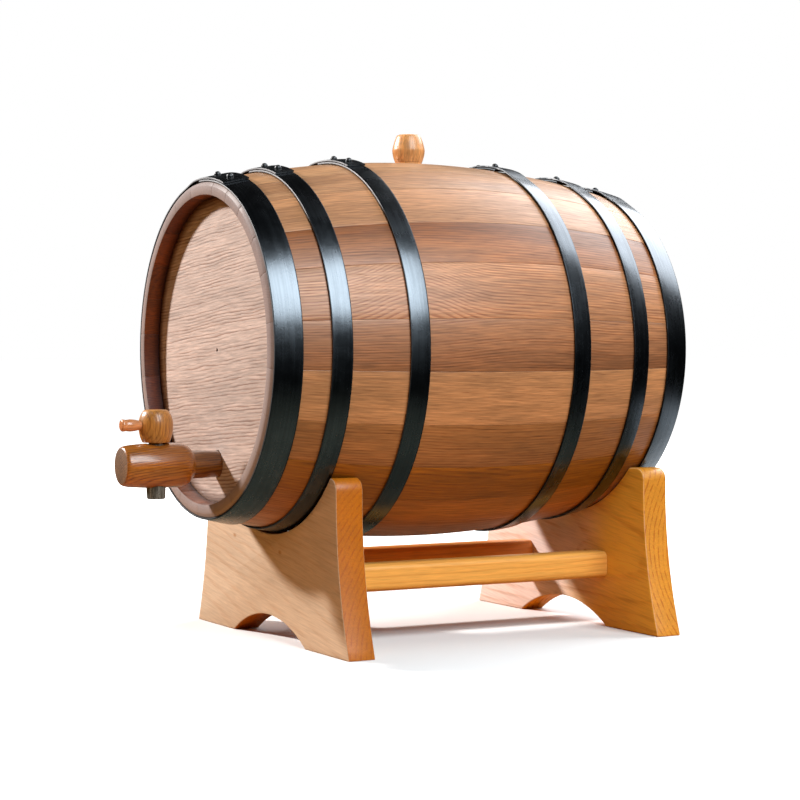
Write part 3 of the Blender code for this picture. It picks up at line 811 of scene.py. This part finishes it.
def make_staves():
    spare = random.Random(12)
    for number, (start, end) in enumerate(stave_spans(), start=1):
        node = f"stave_{number:02d}"
        made = solid(node + "_look", stave_builder(start, end))
        if number == 1:
            cut(made, BUNG_HOLE, ((0.0080, -0.0160), (0.0094, 0.0), (0.0097, 0.0160)))
        if number in STAVE_BOARDS:
            tint, pith, tilt = STAVE_BOARDS[number]
        else:
            tint = spare.choice((HONEY, TAN, BROWN, RUSSET, TAN))
            pith = (spare.uniform(-0.12, 0.12), spare.uniform(-0.08, -0.03))
            tilt = (spare.uniform(-0.03, 0.04), spare.uniform(0.02, 0.12))
        stain_and_painted_light = stave_tone_and_shade(start, end, STAVE_FADES.get(number, PLAIN))
        figure = STAVE_FIGURES.get(number, SPARE_FIGURE)
        grow_wood(made, stave_wood((start + end) / 2), tint, pith, tilt, number, stain_and_painted_light,
                  STAVE_SWIRLS.get(number), figure)
        place_piece(made, node, STAVE_OAK)


# ================ heads
# painted shade along the head's rim, where the chime's shadow falls and the dark croze joint lies
RIM_PAINTED_SHADE = (0.30, 0.16, 0.08)


def make_head(node, outward):
    tongue_face = HEAD_FACE - TONGUE_SETBACK
    tongue_back = tongue_face - TONGUE_THICKNESS
    profile = (
        (HEAD_FLAT_RADIUS - 0.0200, HEAD_FACE),
        (HEAD_FLAT_RADIUS - RIM_SHADE_WIDTH, HEAD_FACE),
        (HEAD_FLAT_RADIUS - 0.0005, HEAD_FACE),
        (HEAD_FLAT_RADIUS - 0.0001, HEAD_FACE - 0.0001),
        (HEAD_FLAT_RADIUS, tongue_face),
        (TONGUE_RADIUS, tongue_face),
        (TONGUE_RADIUS, tongue_back),
        (HEAD_SHOULDER_RADIUS, tongue_back),
        (HEAD_INNER_RADIUS, HEAD_FACE - HEAD_THICKNESS),
    )
    builder = turned(profile, "-Y", 144)
    if outward > 0:
        bmesh.ops.transform(builder, matrix=rotation(180, "Z"), verts=builder.verts)
    made = solid(node + "_look", moved(builder, BARREL))
    if outward < 0:
        bore = ((0.0083, HEAD_FACE - 0.03), (0.0091, HEAD_FACE), (0.0091, HEAD_FACE + 0.02))
        cut(made, TAP_AXIS, bore, "-Y")
        mark = ((0.0002, HEAD_FACE - CENTRE_MARK_DEPTH), (CENTRE_MARK_RADIUS, HEAD_FACE - 0.0008),
                (CENTRE_MARK_RADIUS * 1.15, HEAD_FACE + 0.0002))
        cut(made, BARREL, mark, "-Y", 24)

    def stain_and_painted_light(point):
        _, radius, station = in_barrel(point)
        # the inside of the centre mark's pit is darkened as painted shade
        if radius < CENTRE_MARK_RADIUS * 2 and abs(station) < HEAD_FACE - 0.0001:
            return CENTRE_MARK_PAINTED_SHADE
        # painted shade near the rim
        return RIM_PAINTED_SHADE if radius > HEAD_FLAT_RADIUS - RIM_SHADE_WIDTH / 2 else PLAIN

    grow_wood(made, leaning_grain(BARREL, 3.5), (0.575, 0.455, 0.405), (-0.42, 0.18), (0.015, 0.0),
              40 + outward, stain_and_painted_light)
    place_piece(made, node, HEAD_OAK)


# ================ hoops and rivets
def strap_points(width):
    """Half-rounded rectangle of the strap in (across, up), and how exposed each corner is, which sets
    its wear and its painted edge shade.
    """
    corner = HOOP_CORNER
    thick = HOOP_THICKNESS
    low = [(corner, 0.0, 0.0), (width - corner, 0.0, 0.0), (width, corner, 0.0)]
    top_right = [(width, thick - corner, 0.0), (width - corner * 0.3, thick - corner * 0.3, 0.0),
                 (width - corner, thick, 0.6), (width - 3 * corner, thick + HOOP_CROWN * 0.3, 0.0)]
    crown = [(width * 0.66, thick + HOOP_CROWN, 0.0), (width * 0.33, thick + HOOP_CROWN, 0.0)]
    top_left = [(3 * corner, thick + HOOP_CROWN * 0.3, 0.0), (corner, thick, 1.0),
                (corner * 0.3, thick - corner * 0.3, 1.0), (0.0, thick - corner, 0.6)]
    return low + top_right + crown + top_left + [(0.0, corner, 0.3)]


def hoop_edges(kind, end):
    """Stations of the strap's two edges, the one nearer the middle first, from the CAD hoop."""
    low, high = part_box(f"hoop_{kind}_{end}")
    if end == "front":
        return high.y - BARREL.y, low.y - BARREL.y
    return low.y - BARREL.y, high.y - BARREL.y


def lap_lift(travelled):
    """How far the strap has climbed on to its own start, after this many degrees."""
    return (HOOP_THICKNESS + GAP) * smoothstep(travelled, *LAP_CLIMB)


def make_hoop(kind, end):
    node = f"hoop_{kind}_{end}"
    inner, outer = hoop_edges(kind, end)
    turn = 1 if end == "front" else -1
    lap_end = LAP_ENDS[end]
    width = abs(outer - inner)
    bases = [stave_radius(station) + HOOP_GAP for station in (inner, outer)]
    outline = strap_points(width)
    length = 360.0 + LAP_LENGTH
    count = int(length / HOOP_STEP)
    builder = bmesh.new()
    rows = []
    edges = []
    rims = []
    laps = []
    for step in range(count + 1):
        travelled = length * step / count
        angle = lap_end - turn * (length - travelled)
        row = []
        for across, up, worn in outline:
            share = across / width
            radius = bases[0] + (bases[1] - bases[0]) * share + up + lap_lift(travelled)
            row.append(builder.verts.new(around_barrel(angle, radius, inner + (outer - inner) * share)))
            edges.append(worn)
            rims.append(1.0 if across > width - HOOP_CORNER / 2 else 0.0)
            laps.append(smoothstep(travelled, *LAP_SCUFFS))
        rows.append(row)
    made = solid(node + "_look", skin(builder, rows))
    number_attribute(made.data, "edge", edges)
    number_attribute(made.data, "rim", rims)
    number_attribute(made.data, "lap", laps)
    place_piece(made, node, IRON, 30)
    station = (inner + outer) / 2
    for number, inset in enumerate((RIVET_INSET, LAP_LENGTH - RIVET_INSET), start=1):
        make_rivet(f"rivet_{kind}_{end}_{number}", lap_end - turn * inset, station)


def make_rivet(node, angle, station):
    """A low hammered dome on the lapped strap."""
    surface = stave_radius(station) + HOOP_GAP + 2 * HOOP_THICKNESS + GAP
    profile = [(RIVET_RADIUS * 0.93, -0.0001), (RIVET_RADIUS, RIVET_FLAT)]
    for degrees in range(15, 90, 12):
        rise = math.radians(degrees)
        height = RIVET_FLAT + RIVET_HEIGHT * math.sin(rise) ** 0.9
        profile.append((RIVET_RADIUS * math.cos(rise), height))
    profile.append((RIVET_RADIUS * 0.12, RIVET_HEIGHT + RIVET_FLAT))
    builder = turned(profile, steps=28)
    slope = math.degrees(math.atan(stave_slope(station)))
    placing = (Matrix.Translation(BARREL) @ rotation(angle, "Y")
               @ Matrix.Translation((0, station, surface)) @ rotation(slope, "X"))
    bmesh.ops.transform(builder, matrix=placing, verts=builder.verts)
    made = solid(node + "_look", builder)
    count = len(made.data.vertices)
    number_attribute(made.data, "edge", [0.35] * count)
    number_attribute(made.data, "lap", [0.5] * count)
    place_piece(made, node, RIVET_IRON, 60)


# ================ bung
def make_bung():
    knob = flowing((
        (0.0094, 0.0011), (0.0106, 0.0048), (0.0112, 0.0085), (0.0110, 0.0106), (0.0101, 0.0143),
        (0.0089, 0.0177), (0.0082, 0.0192),
    ))
    profile = [(0.0072, -0.0154), (0.0077, -0.0148), (0.0091, 0.0), (0.0091, 0.0008)]
    profile += knob + [(0.0076, 0.0197), (0.0069, 0.0200)]
    made = solid("bung_look", moved(turned(profile), BUNG_HOLE))
    grow_wood(made, grain(BUNG_HOLE, (0, 0, 1), (0.8, 0.6, 0), (-0.6, 0.8, 0)),
              (0.680, 0.305, 0.103), (0.012, 0.016), (0.10, 0.05), 60)
    place_piece(made, "bung", BUNG_WOOD)


# ================ tap
PORT_RADIUS = 0.0024          # of the bore down the key, and of the port into it
NECK_END = 0.1640             # the neck is browner than the turned body
NECK_STAIN = (0.62, 0.66, 0.75)


def make_tap():
    wide_part = flowing((
        (0.0102, 0.1644), (0.0124, 0.1662), (0.0139, 0.1690), (0.0146, 0.1730), (0.0147, 0.1850),
        (0.0144, 0.1960), (0.0137, 0.2060), (0.0131, 0.2098),
    ))
    profile = [(0.0080, 0.1220), (0.0088, HEAD_FACE), (0.0092, 0.1560), (0.0094, 0.1630)]
    profile += wide_part + [(0.0126, 0.2111), (0.0119, 0.2118), (0.0112, TAP_FRONT)]
    made = solid("tap_body_look", moved(turned(profile, "-Y", 72), TAP_AXIS))
    cut(made, TAP_AXIS, ((0.0030, 0.1110), (0.0030, BARREL.y - KEY_AXIS.y)), "-Y", 24)
    cut(made, KEY_AXIS, ((0.0066, -0.03), (0.0066, 0.03)), steps=48)

    def neck_stain(point):
        return NECK_STAIN if BARREL.y - point.y < NECK_END else PLAIN

    grow_wood(made, grain(TAP_AXIS, BARREL_AXIS, (0.94, 0, 0.34), (-0.34, 0, 0.94)),
              (0.410, 0.137, 0.018), (0.020, -0.028), (0.04, 0.10), 61, neck_stain)
    place_piece(made, "tap_body", TAP_WOOD)

    bottom = SLEEVE_BOX[0].z - TAP_HEIGHT
    top = SLEEVE_BOX[1].z - TAP_HEIGHT
    sleeve = turned(((0.0055, bottom), (0.0059, bottom + 0.0003), (0.0061, bottom + 0.0012),
                     (0.0063, bottom + 0.0060), (0.0063, top)), steps=48)
    made = solid("tap_sleeve_look", moved(sleeve, KEY_AXIS))
    cut(made, KEY_AXIS, ((0.0043, bottom - 0.005), (0.0051, top + 0.005)), steps=40)
    cut(made, KEY_AXIS, ((PORT_RADIUS, -0.0126), (PORT_RADIUS, 0.0)), "-Y", 20)
    place_piece(made, "tap_sleeve", CORK)


def make_key():
    knob = flowing((
        (0.0088, 0.0151), (0.0096, 0.0168), (0.0106, 0.0198), (0.0113, 0.0248), (0.0111, 0.0288),
        (0.0101, 0.0324), (0.0089, 0.0346),
    ))
    profile = [(0.0041, -0.0213), (0.0047, 0.0150), (0.0082, 0.0150)]
    profile += knob + [(0.0080, 0.0358), (0.0070, 0.0363)]
    made = solid("tap_key_look", moved(turned(profile), KEY_AXIS))
    cut(made, KEY_AXIS, ((PORT_RADIUS, -0.0263), (PORT_RADIUS, 0.0)), steps=20)
    cut(made, KEY_AXIS, ((PORT_RADIUS, 0.0), (PORT_RADIUS, 0.0063)), "X", 20)
    handle_low, handle_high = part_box("tap_key_handle")
    peg_axis = Vector((0.0, KEY_AXIS.y, (handle_low.z + handle_high.z) / 2))
    root = KEY_AXIS.y - handle_high.y
    cut(made, peg_axis, ((0.0034, root - GAP), (0.0034, 0.02)), "-Y", 24)

    grow_wood(made, grain(KEY_AXIS, (0, 0, 1), (0.6, 0.8, 0), (-0.8, 0.6, 0)),
              (0.465, 0.201, 0.044), (0.010, 0.014), (0.10, 0.06), 62)
    place_piece(made, "tap_key", KEY_WOOD)

    tip = KEY_AXIS.y - handle_low.y
    shape = flowing((
        (0.0031, 0.0118), (0.0037, 0.0146), (0.0040, 0.0180), (0.0037, 0.0208), (0.0040, 0.0229),
        (0.0037, 0.0238),
    ), 4)
    profile = [(0.0031, root)] + shape + [(0.0032, tip - 0.0001), (0.0026, tip)]
    made = solid("tap_key_handle_look", moved(turned(profile, "-Y", 40), peg_axis))
    grow_wood(made, grain(KEY_AXIS, BARREL_AXIS, (1, 0, 0), (0, 0, 1)),
              (0.730, 0.300, 0.118), (0.012, -0.050), (0.05, 0.10), 63)
    place_piece(made, "tap_key_handle", HANDLE_WOOD)


# ================ stand
FRONT_ARCH_PAINTED_LIGHT = (2.1, 3.6, 1.0)     # painted light: brightens the underside of the front arch, which little light reaches
# painted light: brightens the underside of the rear arch
REAR_ARCH_PAINTED_LIGHT = (1.5, 1.7, 1.5)
REAR_OUTER_FACE_TONE = (0.74, 0.70, 0.55)   # brings the rear board's outer face back to the front board's brown, without the inner face's painted light


def board_outline(cradle_radius):
    """Right half of a cradle board from the arch round to the cradle, then mirrored."""
    arch_radius = (ARCH_HALF_WIDTH ** 2 + ARCH_HEIGHT ** 2) / (2 * ARCH_HEIGHT)
    arch_centre = (0.0, ARCH_HEIGHT - arch_radius)
    arch_end = math.degrees(math.asin((arch_radius - ARCH_HEIGHT) / arch_radius))
    half = arc(arch_centre, arch_radius, 90, arch_end, 14)
    for step in range(17):
        height = WAIST_HEIGHT * step / 16
        flare = (FOOT_HALF_WIDTH - WAIST_HALF_WIDTH) * (1 - height / WAIST_HEIGHT) ** 2
        half.append((WAIST_HALF_WIDTH + flare, height))
    corner = (WAIST_HALF_WIDTH - HORN_CORNER, HORN_HEIGHT - HORN_CORNER)
    half += arc(corner, HORN_CORNER, 0, 90, 8)
    horn_angle = math.degrees(math.asin((HORN_HEIGHT - BARREL.z) / cradle_radius))
    half += arc((0.0, BARREL.z), cradle_radius, horn_angle, -90, 28)
    mirrored = [(-x, height) for x, height in reversed(half[1:-1])]
    return half + mirrored


def make_board(node, inner_side, tint, pith, tilt, seed, figure, arch_painted_light, outer_face_tone=PLAIN):
    """inner_side is +1 where the board's inner face looks towards +Y."""
    low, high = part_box(node)
    outer_y, inner_y = (low.y, high.y) if inner_side > 0 else (high.y, low.y)
    cradle = stave_radius(inner_y - BARREL.y) + CRADLE_GAP
    builder = bmesh.new()
    face = builder.faces.new([builder.verts.new((x, low.y, z)) for x, z in board_outline(cradle)])
    grown = bmesh.ops.extrude_face_region(builder, geom=[face])
    lifted = [item for item in grown["geom"] if isinstance(item, bmesh.types.BMVert)]
    bmesh.ops.translate(builder, verts=lifted, vec=(0.0, high.y - low.y, 0.0))
    made = solid(node + "_look", builder)
    eased(made, BOARD_EASE)
    for bar in ("stretcher_left", "stretcher_right"):
        bar_low, bar_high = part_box(bar)
        centre = (bar_low + bar_high) / 2
        mortise = ((TENON_RADIUS + GAP, -0.010), (TENON_RADIUS + GAP, 0.010))
        cut(made, Vector((centre.x, inner_y, centre.z)), mortise, "-Y", 32)
    middle_y = (low.y + high.y) / 2

    def stain_and_painted_light(point):
        under = abs(point.x) < ARCH_HALF_WIDTH + BOARD_EASE and point.z < ARCH_HEIGHT + BOARD_EASE
        inside = abs(point.y - middle_y) < (high.y - low.y) / 2 - BOARD_EASE * 0.9
        if abs(point.y - outer_y) < GAP:
            return outer_face_tone
        # the arch's underside is brightened as painted light
        return arch_painted_light if under and inside else PLAIN

    to_wood = leaning_grain(Vector((0.0, middle_y, WAIST_HEIGHT / 2)), -8.0)
    grow_wood(made, to_wood, tint, pith, tilt, seed, stain_and_painted_light, None, figure)
    return made


def make_stretcher(node, tint, seed):
    low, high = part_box(node)
    centre = (low + high) / 2
    half_size = (high.x - low.x) / 2
    front = low.y + TENON_LENGTH
    rear = high.y - TENON_LENGTH
    flat = half_size - STRETCHER_CORNER
    ring = []
    for quarter, (x, z) in enumerate(((flat, flat), (-flat, flat), (-flat, -flat), (flat, -flat))):
        ring += arc((x, z), STRETCHER_CORNER, 90 * quarter, 90 * quarter + 90, 8)
    tenon = [(x * TENON_RADIUS / math.hypot(x, z), z * TENON_RADIUS / math.hypot(x, z)) for x, z in ring]
    loops = [(tenon, low.y), (tenon, front), (ring, front)]
    loops += [(ring, front + (rear - front) * step / 12) for step in range(1, 12)]
    loops += [(ring, rear), (tenon, rear), (tenon, high.y)]
    builder = bmesh.new()
    rows = [[builder.verts.new((centre.x + x, y, centre.z + z)) for x, z in outline]
            for outline, y in loops]
    made = solid(node + "_look", skin(builder, rows))
    grow_wood(made, grain(centre, BARREL_AXIS, (1, 0, 0), (0, 0, 1)),
              tint, (0.030, -0.045), (0.03, 0.03), seed, figure=0.30)
    place_piece(made, node, STRETCHER_PINE)


def make_stand():
    front = make_board("cradle_board_front", 1, (0.605, 0.450, 0.318), (-0.070, 0.120), (0.02, 0.06), 70,
                       0.48, FRONT_ARCH_PAINTED_LIGHT)
    place_piece(front, "cradle_board_front", FRONT_PINE, 30)
    # the rear board's base tint is paler than the front board's, as painted light on its inner face
    rear = make_board("cradle_board_rear", -1, (0.820, 0.645, 0.580), (0.015, 0.090), (0.01, 0.05), 71,
                      0.80, REAR_ARCH_PAINTED_LIGHT, REAR_OUTER_FACE_TONE)
    place_piece(rear, "cradle_board_rear", REAR_PINE, 30)
    make_stretcher("stretcher_left", (0.960, 0.360, 0.067), 72)
    make_stretcher("stretcher_right", (0.830, 0.400, 0.085), 73)


# ================ camera, light and floor
def make_camera():
    """Placed round the barrel's middle, then turned a little so that the object sits in its frame."""
    data = bpy.data.cameras.new("camera")
    data.sensor_width = 36.0
    data.lens = CAMERA_LENS
    camera = new_object("camera", data)
    round_barrel = rotation(CAMERA_AZIMUTH, "Z") @ rotation(90 - CAMERA_ELEVATION, "X")
    aim = rotation(CAMERA_YAW, "Y") @ rotation(-CAMERA_PITCH, "X")
    camera.matrix_world = (Matrix.Translation(BARREL) @ round_barrel
                           @ Matrix.Translation((0, 0, CAMERA_DISTANCE)) @ aim)
    bpy.context.scene.camera = camera


def soft_light(name, direction, distance, size, power, colour):
    """An area light that faces the barrel's middle from a direction."""
    data = bpy.data.lights.new(name, "AREA")
    data.shape = "RECTANGLE"
    data.size = size[0]
    data.size_y = size[1]
    data.energy = power
    data.color = colour
    light = new_object(name, data)
    towards = Vector(direction).normalized()
    light.location = BARREL + towards * distance
    light.rotation_euler = towards.to_track_quat("Z", "Y").to_euler()


def make_lights():
    soft_light("key", (-1.20, -1.0, 0.82), 2.6, (0.20, 0.20), 114.0, (1.0, 0.96, 0.92))
    soft_light("side", (0.796, 0.068, 0.602), 2.2, (1.50, 1.35), 60.0, (0.90, 0.97, 1.0))
    soft_light("back", (-0.133, 0.754, 0.643), 2.2, (2.00, 1.25), 58.0, (0.96, 0.98, 1.0))
    world = bpy.data.worlds.new("studio")
    world.use_nodes = True
    bpy.context.scene.world = world
    nodes = world.node_tree.nodes
    links = world.node_tree.links
    soft = nodes["Background"]
    soft.inputs["Color"].default_value = (0.96, 0.98, 1.0, 1.0)
    backdrop = nodes.new("ShaderNodeBackground")
    backdrop.inputs["Color"].default_value = (1.0, 1.0, 1.0, 1.0)
    seen = nodes.new("ShaderNodeLightPath")
    dim = nodes.new("ShaderNodeMath")
    dim.operation = "MULTIPLY_ADD"
    dim.inputs[1].default_value = MIRRORED_AIR - AIR
    dim.inputs[2].default_value = AIR
    links.new(seen.outputs["Is Glossy Ray"], dim.inputs[0])
    links.new(dim.outputs[0], soft.inputs["Strength"])
    mix = nodes.new("ShaderNodeMixShader")
    links.new(seen.outputs["Is Camera Ray"], mix.inputs[0])
    links.new(soft.outputs[0], mix.inputs[1])
    links.new(backdrop.outputs[0], mix.inputs[2])
    links.new(mix.outputs[0], nodes["World Output"].inputs["Surface"])
    bpy.context.scene.view_settings.view_transform = "Standard"


def make_floor():
    builder = bmesh.new()
    bmesh.ops.create_grid(builder, x_segments=4, y_segments=4, size=FLOOR_HALF_SIZE)
    floor = solid("floor", builder)
    floor.data.materials.append(stage_material())


make_camera()
make_staves()
make_head("front_head", -1)
make_head("rear_head", 1)
for kind in HOOP_KINDS:
    for end in ("front", "rear"):
        make_hoop(kind, end)
make_bung()
make_tap()
make_key()
make_stand()
make_floor()
make_lights()
